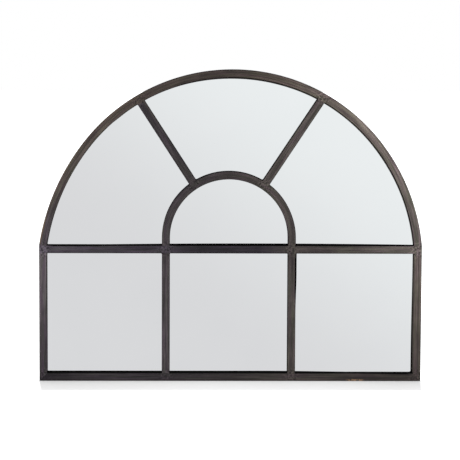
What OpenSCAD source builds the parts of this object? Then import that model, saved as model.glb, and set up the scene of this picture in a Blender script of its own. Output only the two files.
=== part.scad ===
// Arched wall mirror: a welded grille of rectangular steel tube with seven panes of mirror behind it.
// X runs to the right, Y to the wall and Z up. The wall is the plane y = 0, and the origin lies on it,
// midway between the two wall hooks that the mirror hangs from. All sizes are in millimetres.

/* [Outline] */
// Overall width across the stiles
overall_w = 914; // [880:1:960]
// Overall height from the bottom rail to the crown of the arch
overall_h = 746; // [725:1:780]
// Height of the transom's centre line above the bottom edge
transom_h = 317; // [290:1:330]
// How much smaller the arch's radius is at the crown than half the width
crown_tuck = 8; // [3:1:16]
// Angle above horizontal at which the crown's curve runs into the flatter haunches
haunch_angle = 38; // [34:1:42]
// How far the hand-bent crown stands to the right of the middle
crown_shift = 4; // [0:0.5:5]

/* [Grille tube] */
// Width of the tube's face
tube_w = 19; // [16:1:22]
// Depth of the tube, front to back
tube_d = 13; // [12:1:25]
// Wall of the tube
tube_wall = 1.5; // [1:0.1:2]
// Radius of the tube's outer corners
tube_corner_r = 1.5; // [0.8:0.1:2.5]

/* [Inner arch and radial bars] */
// Distance between the centre lines of the inner arch's two legs
leg_spacing = 300.5; // [270:0.5:330]
// Height of the inner arch's centre above the transom's centre line
inner_arch_rise = 27; // [18:1:45]
// How far the inner arch stands to the left of the middle
inner_arch_shift = 4.5; // [0:0.5:10]
// Angle of the left radial bar from the vertical
left_radial_angle = 33; // [28:0.5:40]
// Angle of the right radial bar from the vertical
right_radial_angle = 33.5; // [28:0.5:40]

/* [Panes] */
// Thickness of the mirror glass
pane_t = 4; // [3:0.5:6]
// How far each pane reaches behind the bars that hold it
pane_lap = 6; // [4:0.5:7]
// Thickness of the double-sided foam tape behind the panes
tape_t = 1; // [0.5:0.1:2]
// Width of a strip of tape
tape_w = 19; // [12:1:25]
// How far the ends of the tape stay from the bars, seen from the front
tape_end_gap = 20; // [10:1:30]
// Distance of a strip's centre line from the bar below or above it
tape_margin = 55; // [30:1:70]
// Distance between the two strips behind each side pane of the fan
tape_spacing = 130; // [80:1:160]

/* [Backing] */
// Thickness of the backing board
board_t = 9; // [9:0.5:15]
// How far the board's edge lies inside the grille's outline
board_inset = 2; // [1:0.5:4]
// Gap between the edge of a pane and the spacer strips round the outside
spacer_gap = 2; // [0.5:0.5:3]
// Radius of the board screws' shanks
board_screw_r = 1.75; // [1.5:0.05:2]
// How far the board screws reach past the inside of the tube's wall
board_screw_end = 3; // [2:0.5:8]
// Distance of the board screws from the grille's outer edge
board_screw_inset = 6.5; // [5.5:0.1:7.5]
// Distance between the board screws in the bottom rail
rail_screw_spacing = 200; // [150:5:250]
// Distance between the board screws in each stile
stile_screw_spacing = 125; // [100:1:140]
// Height of each stile's lowest board screw above the bottom edge
stile_screw_h = 40; // [30:1:50]
// Number of board screws in each half of the arch
arch_half_screws = 5; // [3:1:6]
// Radius of a screw's pan head
screw_head_r = 3.6; // [3:0.1:4]
// Height of a screw's pan head
screw_head_h = 2.2; // [1.6:0.1:2.6]
// Clearance round a screw's shank in its hole
screw_gap = 0.1; // [0.05:0.05:0.3]

/* [Hangers] */
// Distance between the two wall hooks
hook_spacing = 406; // [300:1:460]
// Height of the rings' pivots above the bottom edge
hanger_h = 580; // [520:1:600]
// Width of a hanger's strap
strap_w = 17; // [14:1:20]
// Length of the strap below the ring's pivot
strap_l = 36; // [34:1:50]
// Thickness of the strap's sheet, which lies double
strap_t = 1.2; // [1:0.1:1.5]
// Radius of the ring's wire
ring_wire_r = 1.6; // [1.4:0.05:1.8]
// Clearance round the wire in the strap's eye
eye_gap = 0.08; // [0.02:0.01:0.1]
// Play of the strap between the ring's two square corners, on each side
ring_side_gap = 0.5; // [0.3:0.1:1]
// Bend radius of the ring's two square corners, on the wire's centre line
ring_bend_r = 4; // [3:0.5:5]
// Length of the ring's straight sides, between its square corners and its round end
ring_leg = 3; // [2:0.5:4]
// Distance of the hanger's upper screw below the pivot
upper_screw_drop = 12; // [11:0.5:12.5]
// Distance of the hanger's lower screw below the pivot
lower_screw_drop = 28; // [27.5:0.5:29]
// Radius of the hanger screws' shanks
hanger_screw_r = 1.75; // [1.5:0.05:1.9]
// How deep the hanger screws go into the board
hanger_screw_l = 8; // [6:0.5:8]
// Clearance between the hanging ring and the strap that it rests on
ring_rest_gap = 0.3; // [0.1:0.05:0.5]

/* [Wall bumpers] */
// Height of a bumper, which is the room between the board and the wall
bumper_h = 7; // [6.5:0.5:12]
// Radius of a bumper where it is stuck to the board
bumper_r = 7; // [5:0.5:10]
// Radius of a bumper where it rests on the wall
bumper_tip_r = 6; // [4:0.5:8]
// Distance of the lower bumpers from the middle
lower_bumper_x = 420; // [380:1:425]
// Height of the lower bumpers above the bottom edge
lower_bumper_h = 32; // [25:1:60]
// Distance of the upper bumpers from the middle
upper_bumper_x = 300; // [240:1:310]
// Height of the upper bumpers above the bottom edge
upper_bumper_h = 560; // [500:1:575]

/* [Hidden] */
// Steps of a full circle, for large arcs, tubes and small round parts
arc_steps = 240;
round_steps = 48;
small_steps = 24;
// Angle by which the crown of the bent tube runs over its haunches, whose section is thinner all round by
// a hair, which makes them one piece
seam_lap = 0.3;
seam_step = 0.02;
// How far the haunches run on below horizontal before they are cut level at the top of the transom
haunch_run = 15;
// Size of a cutter that only has to reach past everything, and how far others reach past what they cut
far = 2000;
cut_over = 1;

// Levels front to back, from the wall at y = 0
board_back = -bumper_h;
board_front = board_back - board_t;
pane_back = board_front - tape_t;
pane_front = pane_back - pane_t;
tube_back = pane_front;
tube_front = tube_back - tube_d;
tube_mid = (tube_back + tube_front) / 2;

// A ring's half length of straight side, its round end and its reach from the pivot, on the wire's
// centre line
ring_bar_half = strap_w / 2 + ring_side_gap;
ring_r = ring_bar_half + ring_bend_r;
ring_crown_drop = ring_bend_r + ring_leg;
ring_reach = ring_crown_drop + ring_r;

// The raised rings put the wall hooks on z = 0, so the bottom edge lies below the origin
hook_h = hanger_h + ring_reach - ring_wire_r;
base_z = -hook_h;

// Across the width
half_w = overall_w / 2;
crown_r = half_w - crown_tuck;
stile_inner = half_w - tube_w;

// Heights
transom_z = base_z + transom_h;
transom_top = transom_z + tube_w / 2;
transom_bottom = transom_z - tube_w / 2;
rail_top = base_z + tube_w;
arch_z = transom_z + inner_arch_rise;

// The outer arch is three-centred: a crown arc and two flatter haunch arcs that touch it at haunch_angle
// and run down to the outer corners at the top of the transom. Side is -1 for the left haunch and 1 for
// the right. The haunches' extra radius is rounded to a hundredth, so that the arcs meet without a step.
crown_z = base_z + overall_h - crown_r;
haunch_dir = [cos(haunch_angle), sin(haunch_angle)];
function corner_from_crown(side) = [half_w - side * crown_shift, transom_top - crown_z];
function haunch_extra(side) = round(50
    * (corner_from_crown(side) * corner_from_crown(side) - crown_r * crown_r)
    / (crown_r - corner_from_crown(side) * haunch_dir)) / 100;
function haunch_r(side) = crown_r + haunch_extra(side);
function haunch_x(side) = crown_shift - side * haunch_extra(side) * cos(haunch_angle);
function haunch_z(side) = crown_z - haunch_extra(side) * sin(haunch_angle);
function springing_angle(side) = asin((transom_top - haunch_z(side)) / haunch_r(side));

// The inner arch, whose legs stand on the bottom rail
arch_x = -inner_arch_shift;
arch_mid_r = leg_spacing / 2;
arch_outer_r = arch_mid_r + tube_w / 2;
arch_inner_r = arch_mid_r - tube_w / 2;

// Tape and spacers, with the heights of the strips of tape
spacer_inner = tube_w - pane_lap - spacer_gap;
lower_tape_at = [rail_top + tape_margin, transom_bottom - tape_margin];
inner_arch_tape_at = [transom_top + tape_margin];
fan_side_tape_at = [transom_top + tape_margin, transom_top + tape_margin + tape_spacing];
fan_top_tape_at = [arch_z + arch_outer_r + tape_margin, crown_z + crown_r - tube_w - tape_margin];

// A point on one half of the outer arch, moved in from its outer edge by inset
function arch_point(side, angle, inset) = angle < haunch_angle
    ? [haunch_x(side) + side * (haunch_r(side) - inset) * cos(angle),
        haunch_z(side) + (haunch_r(side) - inset) * sin(angle)]
    : [crown_shift + side * (crown_r - inset) * cos(angle), crown_z + (crown_r - inset) * sin(angle)];
function both_sides(places) = [for (p = places, side = [-1, 1]) [side * p[0], p[1]]];

// Board screws, through the bottom rail, the stiles and the arch, where they share each half evenly
function arch_screw_step(side) = (90 - springing_angle(side)) / arch_half_screws;
board_screw_places = concat(
    both_sides([for (i = [0.5, 1.5]) [i * rail_screw_spacing, base_z + board_screw_inset]]),
    both_sides([for (i = [0:2])
        [half_w - board_screw_inset, base_z + stile_screw_h + i * stile_screw_spacing]]),
    [for (side = [-1, 1], i = [0.5:arch_half_screws])
        arch_point(side, 90 - i * arch_screw_step(side), board_screw_inset)]);
board_screw_l = board_t + tape_t + pane_t + tube_wall + board_screw_end;

// Hangers
eye_r = ring_wire_r + eye_gap;
eye_outer_r = eye_r + strap_t;
pivot_y = board_back + eye_outer_r;
pivot_z = base_z + hanger_h;
strap_back = board_back + 2 * strap_t;
ring_lean = asin((strap_back + ring_wire_r + ring_rest_gap - pivot_y) / ring_reach);
hanger_screw_places = both_sides([for (drop = [upper_screw_drop, lower_screw_drop])
    [hook_spacing / 2, pivot_z - drop]]);
strap_hole_gap = 0.4;
strap_end_r = 4;

// Wall bumpers
bumper_places = both_sides([
    [lower_bumper_x, base_z + lower_bumper_h],
    [upper_bumper_x, base_z + upper_bumper_h]]);

// Colours, as the photo shows them
bronze = "#4a4446";
mirror_tone = "#dcdfe0";

// Lays a flat shape, drawn in X and Z, as a sheet whose back is at back_y
module sheet(back_y, thickness) {
    translate([0, back_y, 0]) rotate([90, 0, 0]) linear_extrude(thickness) children();
}

// Everything above the height z
module above(z) {
    translate([-far / 2, z]) square([far, far]);
}

// Everything below the height z
module below(z) {
    translate([-far / 2, z - far]) square([far, far]);
}

// The grille's outline, moved in by inset on every side. The crown's arc lies inside the haunches' where
// it runs on below them, which joins the two.
module outline(inset) {
    tangent_z = crown_z + (crown_r - inset) * sin(haunch_angle);
    intersection() {
        translate([crown_shift, crown_z]) circle(crown_r - inset, $fn = arc_steps);
        above(tangent_z - tube_w);
    }
    intersection() {
        translate([haunch_x(1), haunch_z(1)]) circle(haunch_r(1) - inset, $fn = arc_steps);
        translate([haunch_x(-1), haunch_z(-1)]) circle(haunch_r(-1) - inset, $fn = arc_steps);
        above(transom_top);
        below(tangent_z);
    }
    translate([inset - half_w, base_z + inset])
        square([overall_w - 2 * inset, transom_top - base_z - inset]);
}

// The inner arch with its legs, filled in, with its sides at radius r
module arch_shape(r) {
    translate([arch_x, arch_z]) circle(r, $fn = arc_steps);
    translate([arch_x - r, base_z]) square([2 * r, arch_z - base_z]);
}

// All that lies beyond a radial bar's middle, on its right, by the distance d
module right_of_bar(angle, d) {
    translate([arch_x, arch_z]) rotate(angle) translate([d, -far / 2]) square([far, far]);
}

// All that lies beyond a radial bar's middle, on its left, by the distance d
module left_of_bar(angle, d) {
    translate([arch_x, arch_z]) rotate(angle) translate([-far - d, -far / 2]) square([far, far]);
}

// The seven openings of the grille, each made larger by lap on every side

module lower_opening(left, right, lap) {
    translate([left - lap, rail_top - lap])
        square([right - left + 2 * lap, transom_bottom - rail_top + 2 * lap]);
}

module lower_left_opening(lap) {
    lower_opening(-stile_inner, arch_x - arch_outer_r, lap);
}

module lower_centre_opening(lap) {
    lower_opening(arch_x - arch_inner_r, arch_x + arch_inner_r, lap);
}

module lower_right_opening(lap) {
    lower_opening(arch_x + arch_outer_r, stile_inner, lap);
}

module inner_arch_opening(lap) {
    intersection() {
        arch_shape(arch_inner_r + lap);
        above(transom_top - lap);
    }
}

module fan_left_opening(lap) {
    difference() {
        intersection() {
            outline(tube_w - lap);
            left_of_bar(left_radial_angle, tube_w / 2 - lap);
            above(transom_top - lap);
        }
        arch_shape(arch_outer_r - lap);
    }
}

module fan_top_opening(lap) {
    difference() {
        intersection() {
            outline(tube_w - lap);
            right_of_bar(left_radial_angle, tube_w / 2 - lap);
            left_of_bar(-right_radial_angle, tube_w / 2 - lap);
            above(arch_z);
        }
        arch_shape(arch_outer_r - lap);
    }
}

module fan_right_opening(lap) {
    difference() {
        intersection() {
            outline(tube_w - lap);
            right_of_bar(-right_radial_angle, tube_w / 2 - lap);
            above(transom_top - lap);
        }
        arch_shape(arch_outer_r - lap);
    }
}

// The tube's section, centred, with its face width along X and its depth along Y
module tube_section(thinner = 0) {
    difference() {
        rounded_rectangle(tube_w - 2 * thinner, tube_d - 2 * thinner, tube_corner_r);
        square([tube_w - 2 * tube_wall + 2 * thinner, tube_d - 2 * tube_wall + 2 * thinner], center = true);
    }
}

module rounded_rectangle(w, d, r) {
    square([w, d - 2 * r], center = true);
    square([w - 2 * r, d], center = true);
    for (x = [-1, 1], y = [-1, 1])
        translate([x * (w / 2 - r), y * (d / 2 - r)]) circle(r, $fn = small_steps);
}

// A level tube from left to right, with its centre line at height z
module level_tube(left, right, z) {
    translate([left, tube_mid, z]) rotate([0, 90, 0]) linear_extrude(right - left) tube_section();
}

// A tube bent on the radius r of its centre line, from one angle above horizontal to another
module bent_tube(r, from, to, thinner = 0) {
    rotate([90, 0, 0]) rotate_extrude(angle = to - from, start = from, $fn = arc_steps)
        translate([r, 0]) tube_section(thinner);
}

// A flat shape as a block that reaches past the tubes at the front and the back
module tube_cutter() {
    sheet(tube_back + cut_over, tube_d + 2 * cut_over) children();
}

// Holes for all board screws, from the level from_y forward to the level to_y
module board_screw_holes(from_y, to_y) {
    for (place = board_screw_places)
        translate([place[0], from_y, place[1]]) rotate([90, 0, 0])
            cylinder(h = from_y - to_y, r = board_screw_r + screw_gap, $fn = small_steps);
}

// The same holes through a tube's back wall alone
module tube_screw_holes() {
    board_screw_holes(tube_back + cut_over, tube_back - tube_wall - cut_over);
}

// Pan head screw that points forward, with its head seated at seat_y
module pan_screw(x, z, seat_y, r, length) {
    translate([x, seat_y, z]) {
        rotate([90, 0, 0]) cylinder(h = length, r = r, $fn = small_steps);
        rotate([-90, 0, 0]) cylinder(h = screw_head_h / 2, r = screw_head_r, $fn = small_steps);
        translate([0, screw_head_h / 2, 0]) rotate([-90, 0, 0])
            cylinder(h = screw_head_h / 2, r1 = screw_head_r, r2 = screw_head_r * 0.7, $fn = small_steps);
    }
}

// Grille

module outer_arch() {
    color(bronze) difference() {
        translate([crown_shift, tube_mid, crown_z]) {
            bent_tube(crown_r - tube_w / 2, haunch_angle - seam_lap, 180 - haunch_angle + seam_lap);
            translate([haunch_x(1) - crown_shift, 0, haunch_z(1) - crown_z])
                bent_tube(haunch_r(1) - tube_w / 2, -haunch_run, haunch_angle, seam_step);
            translate([haunch_x(-1) - crown_shift, 0, haunch_z(-1) - crown_z])
                bent_tube(haunch_r(-1) - tube_w / 2, 180 - haunch_angle, 180 + haunch_run, seam_step);
        }
        tube_cutter() below(transom_top);
        tube_screw_holes();
    }
}

// The side of the bottom corner's mitre that the upright keeps
module mitre_side(side) {
    mirror([side < 0 ? 1 : 0, 0]) polygon([
        [half_w + cut_over, base_z - cut_over],
        [stile_inner - cut_over, rail_top + cut_over],
        [stile_inner - cut_over, transom_top + cut_over],
        [half_w + cut_over, transom_top + cut_over]]);
}

module stile(side) {
    color(bronze) difference() {
        intersection() {
            translate([side * (half_w - tube_w / 2), tube_mid, base_z])
                linear_extrude(transom_top - base_z) tube_section();
            tube_cutter() mitre_side(side);
        }
        tube_screw_holes();
    }
}

module left_stile() {
    stile(-1);
}

module right_stile() {
    stile(1);
}

module bottom_rail() {
    color(bronze) difference() {
        level_tube(-half_w, half_w, base_z + tube_w / 2);
        tube_cutter() mitre_side(-1);
        tube_cutter() mitre_side(1);
        tube_screw_holes();
    }
}

module transom_left() {
    color(bronze) level_tube(-stile_inner, arch_x - arch_outer_r, transom_z);
}

module transom_centre() {
    color(bronze) level_tube(arch_x - arch_inner_r, arch_x + arch_inner_r, transom_z);
}

module transom_right() {
    color(bronze) level_tube(arch_x + arch_outer_r, stile_inner, transom_z);
}

module inner_arch() {
    color(bronze) {
        for (side = [-1, 1])
            translate([arch_x + side * arch_mid_r, tube_mid, rail_top])
                linear_extrude(arch_z - rail_top) tube_section();
        translate([arch_x, tube_mid, arch_z]) bent_tube(arch_mid_r, 0, 180);
    }
}

// Runs from the inner arch, whose curve its foot is cut to, up to the outer arch
module radial_bar(lean) {
    color(bronze) difference() {
        intersection() {
            translate([arch_x, tube_mid, arch_z]) rotate([0, lean, 0])
                linear_extrude(crown_r) tube_section();
            tube_cutter() outline(tube_w);
        }
        tube_cutter() arch_shape(arch_outer_r);
    }
}

module radial_bar_left() {
    radial_bar(-left_radial_angle);
}

module radial_bar_right() {
    radial_bar(right_radial_angle);
}

// Mirror panes, which lie against the back of the tubes

module pane() {
    color(mirror_tone) sheet(pane_back, pane_t) children();
}

module pane_lower_left() {
    pane() lower_left_opening(pane_lap);
}

module pane_lower_centre() {
    pane() lower_centre_opening(pane_lap);
}

module pane_lower_right() {
    pane() lower_right_opening(pane_lap);
}

module pane_inner_arch() {
    pane() inner_arch_opening(pane_lap);
}

module pane_fan_left() {
    pane() fan_left_opening(pane_lap);
}

module pane_fan_top() {
    pane() fan_top_opening(pane_lap);
}

module pane_fan_right() {
    pane() fan_right_opening(pane_lap);
}

// Strips of foam tape between the panes and the board

module tape_strips(heights) {
    intersection() {
        children();
        for (z = heights) translate([-far / 2, z - tape_w / 2]) square([far, tape_w]);
    }
}

module pane_tape() {
    color("white") sheet(board_front, tape_t) {
        tape_strips(lower_tape_at) {
            lower_left_opening(-tape_end_gap);
            lower_centre_opening(-tape_end_gap);
            lower_right_opening(-tape_end_gap);
        }
        tape_strips(inner_arch_tape_at) inner_arch_opening(-tape_end_gap);
        tape_strips(fan_side_tape_at) {
            fan_left_opening(-tape_end_gap);
            fan_right_opening(-tape_end_gap);
        }
        tape_strips(fan_top_tape_at) fan_top_opening(-tape_end_gap);
    }
}

// Spacer strips, which lie round the panes between the outer tubes and the board

module spacer() {
    color("black") difference() {
        sheet(board_front, tape_t + pane_t) intersection() {
            difference() {
                outline(board_inset);
                outline(spacer_inner);
            }
            children();
        }
        board_screw_holes(board_front + cut_over, tube_back - cut_over);
    }
}

module spacer_bottom() {
    spacer() below(base_z + spacer_inner);
}

module spacer_left() {
    spacer() translate([-far, base_z + spacer_inner]) square([far, transom_top - base_z - spacer_inner]);
}

module spacer_right() {
    spacer() translate([0, base_z + spacer_inner]) square([far, transom_top - base_z - spacer_inner]);
}

module spacer_arch_left() {
    spacer() translate([-far, transom_top]) square([far, far]);
}

module spacer_arch_right() {
    spacer() translate([0, transom_top]) square([far, far]);
}

// Backing

module backing_board() {
    color("#1d1b1b") difference() {
        sheet(board_back, board_t) outline(board_inset);
        board_screw_holes(board_back + cut_over, board_front - cut_over);
        for (place = hanger_screw_places)
            translate([place[0], board_back + cut_over, place[1]]) rotate([90, 0, 0])
                cylinder(h = hanger_screw_l + cut_over, r = hanger_screw_r + screw_gap, $fn = small_steps);
    }
}

module board_screws() {
    color("silver") for (place = board_screw_places)
        pan_screw(place[0], place[1], board_back, board_screw_r, board_screw_l);
}

// Hangers

// A strip folded double round the ring's wire, which leaves an eye at its top
module hanger_strap(side) {
    color("silver") difference() {
        intersection() {
            translate([side * hook_spacing / 2 - strap_w / 2, board_back, pivot_z]) rotate([90, 0, 90])
                linear_extrude(strap_w) difference() {
                    union() {
                        translate([eye_outer_r, 0]) circle(eye_outer_r, $fn = round_steps);
                        translate([0, -strap_l]) square([2 * strap_t, strap_l]);
                    }
                    translate([eye_outer_r, 0]) circle(eye_r, $fn = round_steps);
                }
            sheet(board_back + 2 * eye_outer_r + cut_over, 2 * eye_outer_r + 2 * cut_over)
                translate([side * hook_spacing / 2, pivot_z]) strap_plan();
        }
        for (drop = [upper_screw_drop, lower_screw_drop])
            translate([side * hook_spacing / 2, board_back - cut_over, pivot_z - drop]) rotate([-90, 0, 0])
                cylinder(h = 2 * strap_t + 2 * cut_over, r = hanger_screw_r + strap_hole_gap, $fn = small_steps);
    }
}

// The strap seen from behind, with the corners of its free end rounded
module strap_plan() {
    translate([-strap_w / 2, strap_end_r - strap_l]) square([strap_w, strap_l + eye_outer_r]);
    translate([strap_end_r - strap_w / 2, -strap_l]) square([strap_w - 2 * strap_end_r, strap_l]);
    for (side = [-1, 1])
        translate([side * (strap_w / 2 - strap_end_r), strap_end_r - strap_l])
            circle(strap_end_r, $fn = round_steps);
}

module hanger_strap_left() {
    hanger_strap(-1);
}

module hanger_strap_right() {
    hanger_strap(1);
}

// One bend of the ring's wire, in the plane of the ring
module wire_bend(x, z, r, from, to) {
    translate([x, 0, z]) rotate([90, 0, 0])
        rotate_extrude(angle = to - from, start = from, $fn = 2 * round_steps) translate([r, 0])
            circle(ring_wire_r, $fn = round_steps);
}

// D-shaped ring, which hangs from its straight side and leans on the strap
module hanger_ring(side) {
    color("silver") translate([side * hook_spacing / 2, pivot_y, pivot_z]) rotate([ring_lean, 0, 0]) {
        rotate([0, 90, 0]) cylinder(h = 2 * ring_bar_half, r = ring_wire_r, center = true, $fn = round_steps);
        wire_bend(ring_bar_half, -ring_bend_r, ring_bend_r, 0, 90);
        wire_bend(-ring_bar_half, -ring_bend_r, ring_bend_r, 90, 180);
        for (x = [-ring_r, ring_r])
            translate([x, 0, -ring_crown_drop]) cylinder(h = ring_leg, r = ring_wire_r, $fn = round_steps);
        wire_bend(0, -ring_crown_drop, ring_r, 180, 360);
    }
}

module hanger_ring_left() {
    hanger_ring(-1);
}

module hanger_ring_right() {
    hanger_ring(1);
}

module hanger_screws() {
    color("silver") for (place = hanger_screw_places)
        pan_screw(place[0], place[1], strap_back, hanger_screw_r, 2 * strap_t + hanger_screw_l);
}

module wall_bumpers() {
    color("#202020") for (place = bumper_places)
        translate([place[0], board_back, place[1]]) rotate([-90, 0, 0])
            cylinder(h = bumper_h, r1 = bumper_r, r2 = bumper_tip_r, $fn = round_steps);
}

outer_arch();
left_stile();
right_stile();
bottom_rail();
transom_left();
transom_centre();
transom_right();
inner_arch();
radial_bar_left();
radial_bar_right();
pane_lower_left();
pane_lower_centre();
pane_lower_right();
pane_inner_arch();
pane_fan_left();
pane_fan_top();
pane_fan_right();
pane_tape();
spacer_bottom();
spacer_left();
spacer_right();
spacer_arch_left();
spacer_arch_right();
backing_board();
board_screws();
hanger_strap_left();
hanger_strap_right();
hanger_ring_left();
hanger_ring_right();
hanger_screws();
wall_bumpers();
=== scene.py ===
import math
import random

import bmesh
import bpy
from mathutils import Matrix, Vector
from mathutils.kdtree import KDTree


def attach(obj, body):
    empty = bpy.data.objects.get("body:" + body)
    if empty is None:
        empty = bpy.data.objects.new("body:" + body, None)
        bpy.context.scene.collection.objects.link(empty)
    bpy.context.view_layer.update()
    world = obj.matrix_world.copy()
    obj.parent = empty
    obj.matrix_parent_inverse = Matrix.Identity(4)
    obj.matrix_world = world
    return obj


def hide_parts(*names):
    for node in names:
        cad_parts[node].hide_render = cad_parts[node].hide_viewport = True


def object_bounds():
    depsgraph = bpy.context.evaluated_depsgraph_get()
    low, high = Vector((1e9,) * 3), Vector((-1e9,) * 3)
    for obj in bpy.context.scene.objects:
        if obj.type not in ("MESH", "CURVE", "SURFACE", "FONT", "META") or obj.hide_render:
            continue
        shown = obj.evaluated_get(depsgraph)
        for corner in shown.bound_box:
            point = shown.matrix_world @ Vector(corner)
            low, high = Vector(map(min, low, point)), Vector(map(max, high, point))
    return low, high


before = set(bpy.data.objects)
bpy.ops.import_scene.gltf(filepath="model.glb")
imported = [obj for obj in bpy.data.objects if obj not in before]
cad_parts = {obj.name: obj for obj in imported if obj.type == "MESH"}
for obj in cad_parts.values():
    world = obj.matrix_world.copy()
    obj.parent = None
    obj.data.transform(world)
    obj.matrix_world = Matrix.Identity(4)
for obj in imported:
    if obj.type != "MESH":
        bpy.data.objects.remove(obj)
cad_low, cad_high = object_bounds()


# Camera: the photograph is a product picture taken square on, with a long lens from far off, and from
# a little above the mirror's middle, which shows a thin line of each level bar's top.
CAMERA_TARGET = Vector((-0.0021, -0.034, -0.2344))
CAMERA_DISTANCE = 5.94
CAMERA_PITCH = math.radians(6.0)
CAMERA_YAW = math.radians(-1.2)
CAMERA_ROLL = math.radians(0.25)
CAMERA_LENS = 195.1
CAMERA_SENSOR = 36
CAMERA_REACH = 50


def added(name, data):
    """A new object in the scene, at the origin."""
    made = bpy.data.objects.new(name, data)
    bpy.context.scene.collection.objects.link(made)
    return made


def aimed(name, data, place, target, roll=0.0):
    """A camera or a lamp that stands at a place and faces a target."""
    made = added(name, data)
    made.location = place
    facing = (target - place).to_track_quat("-Z", "Y").to_matrix()
    made.rotation_euler = (facing @ Matrix.Rotation(roll, 3, "Z")).to_euler()
    return made


camera_data = bpy.data.cameras.new("product_camera")
camera_data.lens = CAMERA_LENS
camera_data.sensor_width = CAMERA_SENSOR
camera_data.clip_end = CAMERA_REACH
towards_camera = Vector((
    math.sin(CAMERA_YAW) * math.cos(CAMERA_PITCH),
    -math.cos(CAMERA_YAW) * math.cos(CAMERA_PITCH),
    math.sin(CAMERA_PITCH)))
camera_place = CAMERA_TARGET + CAMERA_DISTANCE * towards_camera
bpy.context.scene.camera = aimed("product_camera", camera_data, camera_place, CAMERA_TARGET, CAMERA_ROLL)


# Outer arch: rectangular steel tube bent over the top on three radii, painted a dark bronze that is
# rubbed on the front, with painted sheen, and blackened on the sides. It stands on the stiles' tops, welded
# and ground flush.
TUBE_FACE = 0.019
HALF_FACE = TUBE_FACE / 2
TUBE_DEPTH = 0.013
TUBE_CORNER = 0.0015
TUBE_STEP = 0.003
BASE_Z = cad_low[2]
HALF_WIDTH = cad_high[0]
TUBE_FRONT = cad_low[1]
TUBE_MIDDLE = TUBE_FRONT + TUBE_DEPTH / 2
RAIL_TOP = BASE_Z + TUBE_FACE
TRANSOM_HEIGHT = 0.317
TRANSOM_Z = BASE_Z + TRANSOM_HEIGHT
TRANSOM_TOP = TRANSOM_Z + HALF_FACE
TRANSOM_BOTTOM = TRANSOM_Z - HALF_FACE
STILE_X = HALF_WIDTH - HALF_FACE
STILE_INNER = HALF_WIDTH - TUBE_FACE
CROWN_X = 0.004
CROWN_RADIUS = 0.449
CROWN_INNER = CROWN_RADIUS - TUBE_FACE
CROWN_Z = cad_high[2] - CROWN_RADIUS
HAUNCH_ANGLE = math.radians(38)
ARCH_X = -0.0045
LEG_ABOVE_TRANSOM = 0.027
ARCH_Z = TRANSOM_Z + LEG_ABOVE_TRANSOM
LEG_RADIUS = 0.15025
LEG_OUTSIDE = LEG_RADIUS + HALF_FACE
LEG_INSIDE = LEG_RADIUS - HALF_FACE
RADIAL_ANGLE = {-1: math.radians(33), 1: math.radians(33.5)}


class Output:
    """A node's output, with which sums are written as with plain numbers."""

    def __init__(self, socket):
        self.socket = socket

    def __add__(self, other):
        return reckoned("ADD", self, other)

    def __sub__(self, other):
        return reckoned("SUBTRACT", self, other)

    def __rsub__(self, other):
        return reckoned("SUBTRACT", other, self)

    def __mul__(self, other):
        return reckoned("MULTIPLY", self, other)

    def __truediv__(self, other):
        return reckoned("DIVIDE", self, other)

    def __lt__(self, other):
        return reckoned("LESS_THAN", self, other)

    def __gt__(self, other):
        return reckoned("GREATER_THAN", self, other)

    def __abs__(self):
        return reckoned("ABSOLUTE", self, 0.0)


def fill_inputs(node, values):
    """Fills a node's inputs: an output is linked, and any other value is typed in."""
    for key, value in values.items():
        if isinstance(value, Output):
            node.id_data.links.new(value.socket, node.inputs[key])
        else:
            node.inputs[key].default_value = value


def add_node(kind, values=None, output=0, tree=None, **settings):
    """Adds a node to a tree, or to the one its values come from, and gives one of its outputs."""
    values = values or {}
    if tree is None:
        tree = next(value.socket.id_data for value in values.values() if isinstance(value, Output))
    made = tree.nodes.new(kind)
    for name, value in settings.items():
        setattr(made, name, value)
    fill_inputs(made, values)
    return Output(made.outputs[output])


def reckoned(operation, first, second):
    """One sum, product or the like of two values."""
    return add_node("ShaderNodeMath", {0: first, 1: second}, operation=operation)


def axes(vector):
    """A vector's X, Y and Z."""
    parts = add_node("ShaderNodeSeparateXYZ", {"Vector": vector}).socket.node
    return [Output(part) for part in parts.outputs]


def new_tree(name, inputs):
    """A geometry tree with named inputs, and the outputs that give their values."""
    tree = bpy.data.node_groups.new(name, "GeometryNodeTree")
    tree.interface.new_socket("Geometry", in_out="INPUT", socket_type="NodeSocketGeometry")
    for label, kind in inputs.items():
        tree.interface.new_socket(label, in_out="INPUT", socket_type="NodeSocket" + kind)
    tree.interface.new_socket("Geometry", in_out="OUTPUT", socket_type="NodeSocketGeometry")
    return tree, {socket.name: Output(socket) for socket in tree.nodes.new("NodeGroupInput").outputs}


def end_tree(tree, geometry, finish):
    """Ends a tree in Realize Instances and Set Material."""
    whole = add_node("GeometryNodeRealizeInstances", {"Geometry": geometry})
    painted = add_node("GeometryNodeSetMaterial", {"Geometry": whole, "Material": finish})
    fill_inputs(tree.nodes.new("NodeGroupOutput"), {0: painted})


def grown(name, source, tree, values):
    """Runs a geometry tree on a mesh and returns the result as a plain mesh object."""
    maker = added(name, source)
    modifier = maker.modifiers.new(tree.name, "NODES")
    modifier.node_group = tree
    for label, value in values.items():
        modifier[tree.interface.items_tree[label].identifier] = value
    state = bpy.context.evaluated_depsgraph_get()
    shape = bpy.data.meshes.new_from_object(
        maker.evaluated_get(state), preserve_all_data_layers=True, depsgraph=state)
    maker.modifiers.remove(modifier)
    shape.name = name
    maker.data = shape
    return maker


def smooth(mesh, crease):
    """Smooth shading, except over creases sharper than that many degrees."""
    mesh.shade_smooth()
    mesh.set_sharp_from_angle(angle=math.radians(crease))


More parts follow.
